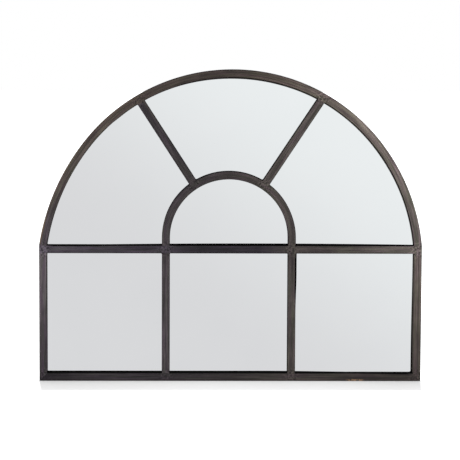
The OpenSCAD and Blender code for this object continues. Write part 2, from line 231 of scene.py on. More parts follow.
def lines_mesh(name, runs):
    """A mesh of open polylines, one for each run of points."""
    mesh = bpy.data.meshes.new(name)
    points = []
    edges = []
    for run in runs:
        first = len(points)
        points.extend(run)
        edges.extend((i, i + 1) for i in range(first, len(points) - 1))
    mesh.from_pydata(points, edges, [])
    return mesh


def arc_points(centre_x, centre_z, radius, start, end, step=TUBE_STEP):
    """Points along an arc on the tubes' middle level; angles are from the right, in radians."""
    count = max(2, math.ceil(abs(end - start) * radius / step))
    angles = [start + (end - start) * i / count for i in range(count + 1)]
    return [(centre_x + radius * math.cos(a), TUBE_MIDDLE, centre_z + radius * math.sin(a)) for a in angles]


def haunch(side):
    """Radius and centre of the flatter arc from the crown down to the corner on one side."""
    corner = Vector((HALF_WIDTH - side * CROWN_X, TRANSOM_TOP - CROWN_Z))
    towards = Vector((math.cos(HAUNCH_ANGLE), math.sin(HAUNCH_ANGLE)))
    extra = (corner.length_squared - CROWN_RADIUS ** 2) / (2 * (CROWN_RADIUS - corner.dot(towards)))
    return CROWN_RADIUS + extra, CROWN_X - side * extra * towards.x, CROWN_Z - extra * towards.y


def springing_angle(side, inset=0.0):
    """Where the haunch, moved in by inset, meets the top of the transom."""
    radius, _, centre_z = haunch(side)
    return math.asin((TRANSOM_TOP - centre_z) / (radius - inset))


def arch_line(inset, step=TUBE_STEP, overrun=0.0):
    """The three arcs moved in by inset, from the right springing over the crown to the left one."""
    right_radius, right_x, right_z = haunch(1)
    left_radius, left_x, left_z = haunch(-1)
    return (
        arc_points(right_x, right_z, right_radius - inset,
                   springing_angle(1, inset) - overrun, HAUNCH_ANGLE, step)
        + arc_points(CROWN_X, CROWN_Z, CROWN_RADIUS - inset,
                     HAUNCH_ANGLE, math.pi - HAUNCH_ANGLE, step)[1:]
        + arc_points(left_x, left_z, left_radius - inset,
                     math.pi - HAUNCH_ANGLE, math.pi - springing_angle(-1, inset) + overrun, step)[1:])


def front_curve(given):
    """The given line as a curve of even steps, on which a section stands square to the front."""
    line = add_node("GeometryNodeMeshToCurve", {"Mesh": given["Geometry"]})
    even = add_node("GeometryNodeResampleCurve", {"Curve": line, "Length": given["Step"]}, mode="LENGTH")
    return add_node("GeometryNodeSetCurveNormal", {"Curve": even, "Normal": (0.0, -1.0, 0.0)}, mode="FREE")


def rounded_section(depth, face, corner, count):
    """A rectangular section with rounded corners."""
    section = add_node(
        "GeometryNodeCurvePrimitiveQuadrilateral", {"Width": depth, "Height": face}, mode="RECTANGLE")
    return add_node(
        "GeometryNodeFilletCurve", {"Curve": section, "Count": count, "Radius": corner}, mode="POLY")


def stored(geometry, name, value, kind):
    """Keeps a value on a geometry's points under a name."""
    return add_node(
        "GeometryNodeStoreNamedAttribute", {"Geometry": geometry, "Name": name, "Value": value},
        data_type=kind, domain="POINT")


def tube_tree():
    """Sweeps the tube's rounded section along a line, and keeps where each point of it lies."""
    tree, given = new_tree("Tube along a line", {
        "Face width": "Float", "Depth": "Float", "Corner radius": "Float", "Step": "Float",
        "Front level": "Float", "Front paint": "Material", "Side paint": "Material"})
    distance = add_node("GeometryNodeSplineParameter", output="Length", tree=tree)
    along = stored(front_curve(given), "along", distance, "FLOAT")
    place = add_node("GeometryNodeInputPosition", tree=tree)
    section = rounded_section(given["Depth"], given["Face width"], given["Corner radius"], 6)
    section = stored(section, "section", place, "FLOAT_VECTOR")
    tube = add_node(
        "GeometryNodeCurveToMesh", {"Curve": along, "Profile Curve": section, "Fill Caps": True})
    sides = add_node("GeometryNodeSetMaterial", {"Geometry": tube, "Material": given["Side paint"]})
    whole = add_node("GeometryNodeRealizeInstances", {"Geometry": sides})
    is_front = add_node(
        "FunctionNodeCompare", {"A": axes(place)[1], "B": given["Front level"]},
        data_type="FLOAT", operation="LESS_THAN")
    front = add_node("GeometryNodeSetMaterial", {
        "Geometry": whole, "Selection": is_front, "Material": given["Front paint"]})
    fill_inputs(tree.nodes.new("NodeGroupOutput"), {0: front})
    return tree


def new_material(name):
    """A new material, its node tree and the place on the object."""
    material = bpy.data.materials.new(name)
    material.use_nodes = True
    tree = material.node_tree
    return material, tree, add_node("ShaderNodeTexCoord", output="Object", tree=tree)


def finished(material, values):
    """Gives the values to the material's shader, and gives back the material."""
    fill_inputs(material.node_tree.nodes["Principled BSDF"], values)
    return material


def attribute(tree, name, kind="Fac"):
    """What a mesh's points keep under a name."""
    return add_node("ShaderNodeAttribute", output=kind, tree=tree, attribute_name=name)


def stepped(value, low, high, to_low=0.0, to_high=1.0):
    """Smoothly maps low..high of a value to to_low..to_high."""
    return add_node(
        "ShaderNodeMapRange",
        {"Value": value, "From Min": low, "From Max": high, "To Min": to_low, "To Max": to_high},
        "Result", interpolation_type="SMOOTHSTEP")


def under(value, low, high):
    """1 below low, fading to 0 at high."""
    return stepped(value, low, high, 1.0, 0.0)


def grain(vector, scale, detail=4.0, roughness=0.55):
    """Noise on a vector."""
    return add_node(
        "ShaderNodeTexNoise",
        {"Vector": vector, "Scale": scale, "Detail": detail, "Roughness": roughness}, "Fac")


def largest(first, *others):
    """The largest of several values."""
    for other in others:
        first = reckoned("MAXIMUM", first, other)
    return first


def distance_to(x, z, centre_x, centre_z):
    """How far a point is from a place on the front."""
    off_x = x - centre_x
    off_z = z - centre_z
    return reckoned("SQRT", off_x * off_x + off_z * off_z, 0.0)


def mixed(factor, first, second, blend="MIX"):
    """A colour mix."""
    return add_node("ShaderNodeMix", {0: factor, 6: first, 7: second}, 2, data_type="RGBA", blend_type=blend)


def tinted(colour, tint):
    """A colour times a tint."""
    return mixed(1.0, colour, tint, "MULTIPLY")


def stretched(vector, scale, turn=0.0):
    """A vector turned about Y and then stretched, which makes streaks and scratches of a noise."""
    turned = add_node(
        "ShaderNodeMapping", {"Vector": vector, "Rotation": (0.0, turn, 0.0)}, vector_type="POINT")
    return add_node("ShaderNodeVectorMath", {0: turned, 1: scale}, operation="MULTIPLY")


def bumped(height, strength, distance):
    """The surface's normals, roughened by a height."""
    return add_node("ShaderNodeBump", {"Height": height, "Strength": strength, "Distance": distance})


BRONZE_DEEP = (0.0096, 0.0075, 0.0084, 1.0)
BRONZE_PALE = (0.137, 0.1255, 0.1140, 1.0)
PLUM_CAST = (0.95, 0.955, 1.29, 1.0)
BROWN_CAST = (1.03, 0.96, 0.88, 1.0)
NO_CAST = (1.0, 1.0, 1.0, 1.0)
PLUM_TINT = (1.12, 0.93, 1.06, 1.0)
OLIVE_TINT = (1.02, 1.03, 0.90, 1.0)
BROWN = (0.27, 0.19, 0.11, 1.0)
RUST = (0.38, 0.235, 0.13, 1.0)
RUST_X = 0.300
# Black of the tubes' painted sides, also used for painted shade along some edges and on the glass
BLACK_PAINT_AND_SHADE = (0.0024, 0.0022, 0.0023, 1.0)
LINE_FADE = 0.0004
LAP_FADE = 0.0005


def short_of(value, line):
    """1 where a value is under a line's, fading to 0 just past it."""
    return under(value - line, 0.0, LINE_FADE)


def eased(factor, share):
    """Keeps only a share of what a factor changes."""
    return (factor - 1.0) * share + 1.0


def bronze_casts(x, z, in_arch, colour):
    """Plum towards the left and along the transom, brown over the arch and at the lower right."""
    plum = largest(
        stepped(x, -0.25, 0.12, 0.62, 0.0), under(abs(z - TRANSOM_Z), 0.008, 0.012) * under(x, 0.05, 0.16))
    colour = tinted(colour, mixed(plum * (1.0 - in_arch), NO_CAST, PLUM_CAST))
    brown = largest(
        in_arch * stepped(z, -0.20, 0.10, 0.2, 1.0) * stepped(x - z, 0.0, 0.15, 1.0, 0.4),
        under(z, TRANSOM_BOTTOM - 0.01, TRANSOM_BOTTOM) * stepped(x, 0.10, 0.30, 0.0, 0.45))
    return tinted(colour, mixed(brown, NO_CAST, BROWN_CAST))


def right_leg_edge_shade(x, z):
    """The right leg's outer edge: painted shade, a black band along it on the front, most under the transom.
    """
    width = stepped(z, TRANSOM_BOTTOM - 0.130, TRANSOM_BOTTOM - 0.070, 0.0008, 0.0020)
    return (
        under(abs(x - (ARCH_X + LEG_OUTSIDE)) - width, 0.0, LAP_FADE)
        * stepped(z, RAIL_TOP, RAIL_TOP + 0.006)
        * under(z, TRANSOM_BOTTOM - 0.012, TRANSOM_BOTTOM - 0.003))


def top_edge_shade(x, z):
    """Painted shade along the level bars' upper edges, wider on the transom at the left and on the rail at
    the right.
    """
    past_transom = abs(z - TRANSOM_TOP) - stepped(x, -0.38, -0.24, 0.0022, 0.0008)
    past_rail = abs(z - RAIL_TOP) - stepped(x, 0.28, 0.42, 0.0002, 0.0023)
    return short_of(reckoned("MINIMUM", past_transom, past_rail), 0.0)


def rubbed_bronze():
    """Dark bronze paint, rubbed along the bars and with painted sheen: streaks, tints, dark edges, painted
    shade along some edges, and mottled ground joints.
    """
    material, tree, place = new_material("rubbed_bronze")
    x, _, z = axes(place)
    _, across, _ = axes(attribute(tree, "section", "Vector"))
    ground = attribute(tree, "ground")
    run = add_node("ShaderNodeCombineXYZ", {
        "X": across, "Y": attribute(tree, "bar"), "Z": attribute(tree, "along")})
    broad_streaks = grain(stretched(run, (230.0, 40.0, 7.0)), 1.0, 3.0)
    fine_streaks = grain(stretched(run, (760.0, 40.0, 26.0)), 1.0, 4.0)
    tint_streaks = grain(stretched(run, (310.0, 90.0, 12.0)), 1.0, 2.0)
    clouds = grain(place, 34.0, 3.0)
    mottle = grain(place, 210.0, 5.0, 0.66)
    in_arch = (stepped(distance_to(x, z, CROWN_X, CROWN_Z), CROWN_INNER - 0.004, CROWN_INNER)
               * stepped(z, -0.24, -0.14))

    # How far each bar's paint is rubbed: rubbed wear, and painted sheen where the bars catch light from the
    # sides
    colour = mixed(attribute(tree, "rubbed_and_sheen"), BRONZE_DEEP, BRONZE_PALE)
    colour = tinted(colour, mixed(stepped(tint_streaks, 0.38, 0.62), OLIVE_TINT, PLUM_TINT))
    colour = bronze_casts(x, z, in_arch, colour)
    streaks = stepped(broad_streaks, 0.32, 0.68, 0.56, 1.44) * stepped(fine_streaks, 0.32, 0.68, 0.74, 1.26)
    # Painted sheen and wear: the right haunch is lighter on one side of its face
    right_haunch_wear_and_sheen = (
        in_arch * stepped(x, 0.27, 0.32) * under(x, 0.40, 0.43) * stepped(across, -0.004, 0.002, 0.0, 0.42))
    colour = tinted(
        colour,
        eased(streaks, 1.0 - ground * 0.8) * eased(stepped(mottle, 0.36, 0.64, 0.28, 1.82), ground)
        * stepped(clouds, 0.3, 0.7, 0.88, 1.12) * (right_haunch_wear_and_sheen + 1.0))

    # Brown along the left haunch's outer edge, rust low on the rail at the right, black edges elsewhere, and
    # painted shade along the level bars' tops and the right leg's outer edge
    brown_place = (
        under(x, -0.30, -0.14) * stepped(z, -0.275, -0.262) * stepped(z, -0.235, -0.18, 1.0, 0.25)
        * under(z, 0.06, 0.13) * stepped(across, 0.0045, 0.0075)
        * stepped(broad_streaks, 0.35, 0.6, 0.5, 0.95))
    rust_place = (
        under(abs(x - RUST_X), 0.010, 0.026) * under(z, BASE_Z + 0.0020, BASE_Z + 0.0056)
        * stepped(mottle, 0.44, 0.54))
    colour = mixed(rust_place, mixed(brown_place, colour, BROWN), RUST)
    stile_edge = under(abs(x - STILE_INNER), 0.0020, 0.0026) * stepped(z, RAIL_TOP, RAIL_TOP + 0.004)
    edge = (
        stepped(abs(across), 0.0080, 0.0090, 0.0, 0.75) * (1.0 - largest(rust_place, brown_place))
        * (1.0 - stile_edge))
    # Painted shade: a black band along the level bars' top edges
    top_shade_place = top_edge_shade(x, z) * (1.0 - ground) * stepped(abs(across), 0.0066, 0.0070)
    dark_places = (edge, right_leg_edge_shade(x, z), top_shade_place)
    for dark_place in dark_places:
        colour = mixed(dark_place, colour, BLACK_PAINT_AND_SHADE)

    return finished(material, {
        "Base Color": colour,
        "Roughness": stepped(broad_streaks, 0.3, 0.7, 0.50, 0.62) + stepped(mottle, 0.3, 0.7, -0.05, 0.07),
        "Specular IOR Level": (1.0 - largest(*dark_places)) * 0.20,
        "Normal": bumped(fine_streaks * 0.7 + mottle * 0.5 + mottle * ground, 0.4, 0.00025)})


OVERSPRAY = (0.075, 0.064, 0.058, 1.0)


def blackened_steel():
    """The tubes' sides and back: matt black, faint scale and dust, and overspray in the right stile."""
    material, _, place = new_material("blackened_steel")
    x, _, z = axes(place)
    scale = grain(place, 260.0, 5.0, 0.6)
    clouds = grain(place, 30.0, 3.0)
    colour = mixed(stepped(scale, 0.42, 0.70), BLACK_PAINT_AND_SHADE, (0.0055, 0.0048, 0.0050, 1.0))
    colour = mixed(stepped(clouds, 0.5, 0.8, 0.0, 0.5), colour, (0.0025, 0.0025, 0.0025, 1.0))
    in_stile = (
        under(abs(x - (STILE_INNER + 0.0006)), 0.0008, 0.0010) * stepped(z, RAIL_TOP, RAIL_TOP + 0.003)
        * under(z, TRANSOM_BOTTOM - 0.003, TRANSOM_BOTTOM))
    return finished(material, {
        "Base Color": mixed(in_stile, colour, OVERSPRAY),
        "Roughness": stepped(scale, 0.3, 0.7, 0.82, 0.95),
        "Specular IOR Level": 0.015,
        "Normal": bumped(scale, 0.3, 0.0003)})


bronze = rubbed_bronze()
black_steel = blackened_steel()
tube_sweep = tube_tree()

# How far the front paint runs round the tube's rounded corners, how far a joint is ground, and how far
# apart in the noise the bars' streaks lie
PAINT_EDGE = 0.0004
GROUND_REACH = 0.026
GROUND_FADE = 0.012
STREAKS_APART = 1.7


def radial_directions(side):
    """The way a radial bar runs, and the way across it to the right."""
    across = side * math.sin(RADIAL_ANGLE[side])
    up = math.cos(RADIAL_ANGLE[side])
    return Vector((across, up)), Vector((up, -across))


def radial_reach(side, circle_x, circle_z, radius, offset):
    """How far along a radial bar's line, moved sideways by offset, a circle is met."""
    run, sideways = radial_directions(side)
    start = Vector((ARCH_X - circle_x, ARCH_Z - circle_z)) + offset * sideways
    half = start.dot(run)
    return -half + math.sqrt(half * half - start.length_squared + radius * radius)


def radial_foot(side, offset=0.0):
    """How far along its line a radial bar meets the inner arch."""
    return radial_reach(side, ARCH_X, ARCH_Z, LEG_OUTSIDE, offset)


def radial_top(side, offset=0.0):
    """How far along its line a radial bar meets the outer arch."""
    return radial_reach(side, CROWN_X, CROWN_Z, CROWN_INNER, offset)


def radial_point(side, reach, offset=0.0):
    """The point on a radial bar's line at that reach."""
    run, sideways = radial_directions(side)
    return Vector((ARCH_X, ARCH_Z)) + reach * run + offset * sideways


# The middles of the ground joints, where the bars' centre lines meet
joint_spots = []
for side in (-1, 1):
    for x in (side * STILE_X, ARCH_X + side * LEG_RADIUS):
        joint_spots += [Vector((x, TRANSOM_Z)), Vector((x, BASE_Z + HALF_FACE))]
    joint_spots.append(radial_point(side, radial_foot(side) - HALF_FACE))
    joint_spots.append(radial_point(side, radial_top(side) + HALF_FACE))


def mark_ground(mesh):
    """Keeps on a mesh's points how near they are to a ground joint."""
    near = mesh.attributes.new("ground", "FLOAT", "POINT")
    for vertex in mesh.vertices:
        gap = min((vertex.co.xz - spot).length for spot in joint_spots)
        near.data[vertex.index].value = min(1.0, max(0.0, (GROUND_REACH - gap) / GROUND_FADE))


def mark_wear_and_sheen(mesh, amounts):
    """Keeps on a bar's points how far its paint is rubbed and how much painted sheen it has, given evenly
    spaced amounts along it.
    """
    rubbed_and_sheen = mesh.attributes.new("rubbed_and_sheen", "FLOAT", "POINT")
    along = mesh.attributes["along"].data
    length = max(spot.value for spot in along)
    last = len(amounts) - 1
    for spot, kept in zip(along, rubbed_and_sheen.data):
        place = spot.value / length * last
        i = min(int(place), last - 1)
        kept.value = amounts[i] + (amounts[i + 1] - amounts[i]) * (place - i)


def sliced(mesh, point, outwards):
    """Cuts off what lies beyond a plane and closes the cut."""
    work = bmesh.new()
    work.from_mesh(mesh)
    everything = work.verts[:] + work.edges[:] + work.faces[:]
    cut = bmesh.ops.bisect_plane(
        work, geom=everything, dist=1e-7, plane_co=point, plane_no=outwards, clear_outer=True)
    rim = [part for part in cut["geom_cut"] if isinstance(part, bmesh.types.BMEdge)]
    bmesh.ops.contextual_create(work, geom=rim)
    work.to_mesh(mesh)
    work.free()


bars = []


def bar(name, node, run, amounts, cuts=()):
    """One length of tube along a line, cut to fit at its ends, that stands for its CAD node."""
    made = grown(name, lines_mesh(name, [run]), tube_sweep, {
        "Face width": TUBE_FACE, "Depth": TUBE_DEPTH, "Corner radius": TUBE_CORNER, "Step": TUBE_STEP,
        "Front level": TUBE_FRONT + PAINT_EDGE, "Front paint": bronze, "Side paint": black_steel})
    for point, outwards in cuts:
        sliced(made.data, point, outwards)
    mark_ground(made.data)
    # The amounts are rubbed wear and painted sheen along the bar
    mark_wear_and_sheen(made.data, amounts)
    own = made.data.attributes.new("bar", "FLOAT", "POINT")
    for kept in own.data:
        kept.value = STREAKS_APART * len(bars)
    smooth(made.data, 32)
    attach(made, "mirror")
    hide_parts(node)
    bars.append(made)
    return made


# The bar is bent a little past the transom's top, and cut off level with it
SPRINGING_OVERRUN = 0.03
bar("outer_arch_tube", "outer_arch", arch_line(HALF_FACE, overrun=SPRINGING_OVERRUN),
    (0.80, 0.92, 0.96, 0.94, 0.84, 0.56, 0.27, 0.27, 0.31, 0.52, 0.44, 0.44, 0.40),
    [((0.0, 0.0, TRANSOM_TOP), (0.0, 0.0, -1.0))])


# Stiles and bottom rail: straight lengths of the same tube, mitred together at the bottom corners and
# welded; the stiles' square tops carry the arch.
SAW_OVERRUN = 0.01


def level(x, z):
    """A point of a bar's line, on the tubes' middle level."""
    return (x, TUBE_MIDDLE, z)


for side, name, amounts in (
        (-1, "left_stile", (0.15, 0.42, 0.70, 0.72)), (1, "right_stile", (0.26, 0.38, 0.84, 0.86))):
    mitre = ((side * HALF_WIDTH, 0.0, BASE_Z), (-side * 1.0, 0.0, -1.0))
    bar(name + "_tube", name, [level(side * STILE_X, z) for z in (BASE_Z - SAW_OVERRUN, TRANSOM_TOP)],
        amounts, [mitre])
bar("bottom_rail_tube", "bottom_rail",
    [level(x, BASE_Z + HALF_FACE) for x in (-HALF_WIDTH - SAW_OVERRUN, HALF_WIDTH + SAW_OVERRUN)],
    (0.0, 0.19, 0.15, 0.16, 0.30, 0.16, 0.18),
    [((side * HALF_WIDTH, 0.0, BASE_Z), (side * 1.0, 0.0, 1.0)) for side in (-1, 1)])


# Transom: three short lengths of the same tube, sawn square and butt welded between the stiles and the
# inner arch's legs, with their fronts ground flush.
for name, left, right, amounts in (
        ("transom_left", -STILE_INNER, ARCH_X - LEG_OUTSIDE, (0.42, 0.34, 0.22, 0.25)),
        ("transom_centre", ARCH_X - LEG_INSIDE, ARCH_X + LEG_INSIDE, (0.28, 0.07, 0.09, 0.06, 0.30)),
        ("transom_right", ARCH_X + LEG_OUTSIDE, STILE_INNER, (0.34, 0.26, 0.50, 0.62, 1.0))):
    bar(name + "_tube", name, [level(left, TRANSOM_Z), level(right, TRANSOM_Z)], amounts)


# Inner arch: one length of the tube bent to a half circle, whose long straight legs run down through
# the transom and stand on the bottom rail.
bar("inner_arch_tube", "inner_arch",
    [level(ARCH_X + LEG_RADIUS, RAIL_TOP)] + arc_points(ARCH_X, ARCH_Z, LEG_RADIUS, 0.0, math.pi)
    + [level(ARCH_X - LEG_RADIUS, RAIL_TOP)],
    (0.36, 0.56, 0.29, 0.31, 0.43, 0.39, 0.20, 0.26, 0.31, 0.31, 0.43, 0.38, 0.35))


# Radial bars: two straight tubes that lean out from the inner arch to the outer one, each end sawn to
# the curve that it meets and welded all round.
END_NEAR = 1e-5

for side, name, amounts in ((-1, "radial_bar_left", (0.24, 0.24)), (1, "radial_bar_right", (0.48, 0.48))):
    foot = radial_foot(side)
    top = radial_top(side)
    radial = bar(name + "_tube", name, [level(*radial_point(side, reach)) for reach in (foot, top)], amounts)
    run, sideways = radial_directions(side)
    for vertex in radial.data.vertices:
        spot = vertex.co.xz - Vector((ARCH_X, ARCH_Z))
        offset = spot.dot(sideways)
        reach = spot.dot(run)
        move = 0.0
        if reach < foot + END_NEAR:
            move = radial_foot(side, offset) - reach
        elif reach > top - END_NEAR:
            move = radial_top(side, offset) - reach
        vertex.co += move * Vector((run.x, 0.0, run.y))


# Ground welds: the bead that joins one bar's end to the next bar's side fills the tube's rounded corner,
# and is ground flush with the front and painted over, which leaves a slightly wavy patch.
SEAM_WIDTH = 0.0028
SEAM_DEPTH = 0.0017
SEAM_CORNER = 0.0003
SEAM_SHIFT = 0.0006
SEAM_SHORT = 0.0008
SEAM_PROUD = 0.00003
SEAM_STEP = 0.0007
SEAM_UNEVEN = 0.0022


def seam_tree():
    """Lays a weld along a line, flat at the front, with an uneven outline."""
    tree, given = new_tree("Ground weld along a line", {
        "Width": "Float", "Depth": "Float", "Corner radius": "Float", "Step": "Float", "Unevenness": "Float",
        "Seed": "Float", "Finish": "Material"})
    section = rounded_section(given["Depth"], given["Width"], given["Corner radius"], 3)
    bead = add_node(
        "GeometryNodeCurveToMesh",
        {"Curve": front_curve(given), "Profile Curve": section, "Fill Caps": True})
    place = add_node("GeometryNodeInputPosition", tree=tree)
    noise = add_node(
        "ShaderNodeTexNoise", {"Vector": place, "W": given["Seed"], "Scale": 480.0}, "Color",
        noise_dimensions="4D")
    x, y, z = axes(add_node("ShaderNodeVectorMath", {0: noise, 1: (0.5, 0.5, 0.5)}, operation="SUBTRACT"))
    unevenness = given["Unevenness"]
    push = add_node("ShaderNodeCombineXYZ", {
        "X": x * unevenness, "Y": abs(y) * unevenness * 0.15, "Z": z * unevenness})
    uneven = add_node("GeometryNodeSetPosition", {"Geometry": bead, "Offset": push})
    end_tree(tree, uneven, given["Finish"])
    return tree


def seam_run(x, z, across_x, across_z, short=SEAM_SHORT):
    """A straight seam on the front, through a point and nearly half a tube's face to each side of it."""
    half = HALF_FACE - short
    depth = TUBE_FRONT + SEAM_DEPTH / 2 - SEAM_PROUD
    return [(x + end * half * across_x, depth, z + end * half * across_z) for end in (-1, 1)]


seams = []
for side in (-1, 1):
    for x, outwards in ((side * STILE_INNER, side), (ARCH_X + side * LEG_OUTSIDE, -side),
                        (ARCH_X + side * LEG_INSIDE, side)):
        seams.append(seam_run(x + outwards * SEAM_SHIFT, TRANSOM_Z, 0.0, 1.0))
    seams.append(seam_run(ARCH_X + side * LEG_RADIUS, RAIL_TOP - SEAM_SHIFT, 1.0, 0.0))
    seams.append(seam_run(side * STILE_X, TRANSOM_TOP, 1.0, 0.0, SEAM_WIDTH / 2))
    seams.append(seam_run(side * STILE_X, BASE_Z + HALF_FACE, side * 1.0, -1.0, SEAM_WIDTH))
    _, sideways = radial_directions(side)
    for reach, shift in ((radial_foot(side), -SEAM_SHIFT), (radial_top(side), SEAM_SHIFT)):
        middle = radial_point(side, reach + shift)
        seams.append(seam_run(middle.x, middle.y, sideways.x, sideways.y))

welds = grown("ground_welds", lines_mesh("seams", seams), seam_tree(), {
    "Width": SEAM_WIDTH, "Depth": SEAM_DEPTH, "Corner radius": SEAM_CORNER, "Step": SEAM_STEP,
    "Unevenness": SEAM_UNEVEN, "Seed": 4.0, "Finish": bronze})
mark_ground(welds.data)

# A weld is rubbed, and given painted sheen, as far as the nearest point of a bar
painted_points = KDTree(sum(len(made.data.vertices) for made in bars))
painted_amounts = []
for made in bars:
    for vertex, kept in zip(made.data.vertices, made.data.attributes["rubbed_and_sheen"].data):
        painted_points.insert(vertex.co, len(painted_amounts))
        painted_amounts.append(kept.value)
painted_points.balance()
weld_wear_and_sheen = welds.data.attributes.new("rubbed_and_sheen", "FLOAT", "POINT")
for vertex in welds.data.vertices:
    weld_wear_and_sheen.data[vertex.index].value = painted_amounts[painted_points.find(vertex.co)[1]]
smooth(welds.data, 50)
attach(welds, "mirror")


# Corner welds: where two bars' sides meet inside an opening the weld is left as a small hollow fillet,
# rippled by the torch, and black like the sides.
FILLET_RINGS = 12
FILLET_STEPS = 6
FILLET_SINK = 0.0005
FILLET_START = 0.0006
FILLET_END = 0.0002
FILLET_SMALL = 0.0018
FILLET_LARGE = 0.0030
LOWER_RIGHT_FILLET = 0.0045
RIPPLE = 0.07
RIPPLE_STEP = 2.3
FRONT_SHARE = 0.55


def bridge(work, rings):
    """Faces from each closed ring of points to the next; a ring of one point is a tip."""
    for near, far in zip(rings, rings[1:]):
        count = max(len(near), len(far))
        for i in range(count):
            j = (i + 1) % count
            loop = [near[i % len(near)], near[j % len(near)], far[j % len(far)], far[i % len(far)]]
            work.faces.new(list(dict.fromkeys(loop)))


def kept_mesh(name, work):
    """Turns worked geometry into a mesh whose faces point outwards."""
    bmesh.ops.recalc_face_normals(work, faces=work.faces)
    mesh = bpy.data.meshes.new(name)
    work.to_mesh(mesh)
    work.free()
    return mesh


def add_fillet(work, corner, first, second, size, phase):
    """One corner weld: the walls run from the corner along first and second, in the front's plane."""
    first = Vector(first).normalized()
    second = Vector(second).normalized()
    outwards = (first + second).normalized()
    half_angle = first.angle(second) / 2
    rings = []
    for k in range(FILLET_RINGS + 1):
        depth = TUBE_FRONT + FILLET_START + k / FILLET_RINGS * (TUBE_DEPTH - FILLET_START - FILLET_END)
        leg = size * (1 + RIPPLE * math.sin(phase + RIPPLE_STEP * k)) * (FRONT_SHARE if k == 0 else 1.0)
        radius = leg * math.tan(half_angle)
        centre = corner + outwards * radius / math.sin(half_angle)
        start = corner + leg * first - centre
        end = corner + leg * second - centre
        ring = [corner - FILLET_SINK * outwards]
        for i in range(FILLET_STEPS + 1):
            ring.append(centre + radius * start.slerp(end, i / FILLET_STEPS))
        rings.append([work.verts.new((point.x, depth, point.y)) for point in ring])
    work.faces.new(rings[0])
    work.faces.new(reversed(rings[-1]))
    bridge(work, rings)


corners = []
for left, right in ((-STILE_INNER, ARCH_X - LEG_OUTSIDE), (ARCH_X - LEG_INSIDE, ARCH_X + LEG_INSIDE),
                    (ARCH_X + LEG_OUTSIDE, STILE_INNER)):
    for x, inwards in ((left, 1.0), (right, -1.0)):
        corners.append((Vector((x, RAIL_TOP)), (inwards, 0.0), (0.0, 1.0)))
        corners.append((Vector((x, TRANSOM_BOTTOM)), (inwards, 0.0), (0.0, -1.0)))
for side in (-1, 1):
    corners.append((Vector((ARCH_X + side * LEG_INSIDE, TRANSOM_TOP)), (-side, 0.0), (0.0, 1.0)))
    corners.append((Vector((ARCH_X + side * LEG_OUTSIDE, TRANSOM_TOP)), (side, 0.0), (0.0, 1.0)))
    radius, centre_x, centre_z = haunch(side)
    angle = springing_angle(side, TUBE_FACE)
    springing = Vector((centre_x + side * (radius - TUBE_FACE) * math.cos(angle), TRANSOM_TOP))
    corners.append((springing, (-side, 0.0), (-side * math.sin(angle), math.cos(angle))))
    run, sideways = radial_directions(side)
    for edge in (-1, 1):
        offset = edge * HALF_FACE
        foot = radial_point(side, radial_foot(side, offset), offset)
        top = radial_point(side, radial_top(side, offset), offset)
        for point, hub, way in ((foot, (ARCH_X, ARCH_Z), run), (top, (CROWN_X, CROWN_Z), -run)):
            wall = (point - Vector(hub)).orthogonal()
            if wall.dot(edge * sideways) < 0:
                wall.negate()
            corners.append((point, way, wall))

weld_draw = random.Random(21)
work = bmesh.new()
for corner, first, second in corners:
    is_lower_right = corner.x > STILE_INNER - 0.001 and corner.y < RAIL_TOP + 0.001
    size = LOWER_RIGHT_FILLET if is_lower_right else weld_draw.uniform(FILLET_SMALL, FILLET_LARGE)
    add_fillet(work, corner, first, second, size, weld_draw.uniform(0.0, 6.28))
fillets = added("corner_welds", kept_mesh("corner_welds", work))
fillets.data.materials.append(black_steel)
smooth(fillets.data, 50)
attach(fillets, "mirror")


# Mirror panes: seven pieces of 4 mm float glass, silvered behind, laid against the back of the tubes.
# Along some bars the glass is painted black as shade where the tubes meet it, and elsewhere it is stained a
# dark brown.
def silver_edge_shade(x, z, low):
    """Painted shade: black on the glass over the level bars, inside the right stile and its lower corner,
    and right of the right leg.
    """
    bowed = (x - 0.075) / 0.37
    transom_line = largest(1.0 - bowed * bowed, 0.0) * 0.0025 + (TRANSOM_TOP + 0.0013)
    rail_line = stepped(x, 0.08, 0.34, RAIL_TOP + 0.0036, RAIL_TOP + 0.0012)
    stile_line = stepped(z, -0.53, -0.30, STILE_INNER - 0.0040, STILE_INNER - 0.0020)
    leg_edge = ARCH_X + LEG_OUTSIDE
    leg_line = stepped(
        z, TRANSOM_BOTTOM - 0.150, TRANSOM_BOTTOM - 0.050, leg_edge + 0.0004, leg_edge + 0.0025)
    corner_x = STILE_INNER - 0.0080
    corner_z = RAIL_TOP + 0.0058
    return largest(
        (1.0 - low) * short_of(z, transom_line),
        short_of(z, rail_line),
        low * short_of(stile_line, x) * under(x, STILE_INNER - 0.0014, STILE_INNER - 0.0010),
        low * (x > leg_edge - 0.003) * short_of(x, leg_line),
        (x > corner_x) * (z < corner_z) * stepped(distance_to(x, z, corner_x, corner_z), 0.0038, 0.0042))


def stained_silver(x, z, low):
    """Inside the outer arch, over the top and down its right side, and behind the right stile's edge."""
    haunch_radius, haunch_x, haunch_z = haunch(1)
    in_from_crown = CROWN_INNER - distance_to(x, z, CROWN_X, CROWN_Z)
    in_from_haunch = haunch_radius - TUBE_FACE - distance_to(x, z, haunch_x, haunch_z)
    on_haunch = z < CROWN_Z + CROWN_INNER * math.sin(HAUNCH_ANGLE)
    in_from_arch = in_from_crown + on_haunch * (in_from_haunch - in_from_crown)
    width = (stepped(x, -0.21, 0.03, 0.0008, 0.0033) * stepped(x, 0.10, 0.20, 1.0, 0.74)
             * stepped(z, -0.20, -0.05, 0.7, 1.0))
    over_top = stepped(z, 0.02, 0.03)
    down_right = stepped(x, 0.26, 0.27) * (z > TRANSOM_Z)
    return largest(
        short_of(in_from_arch, width) * largest(over_top, down_right), low * (x > STILE_INNER - 0.0014))


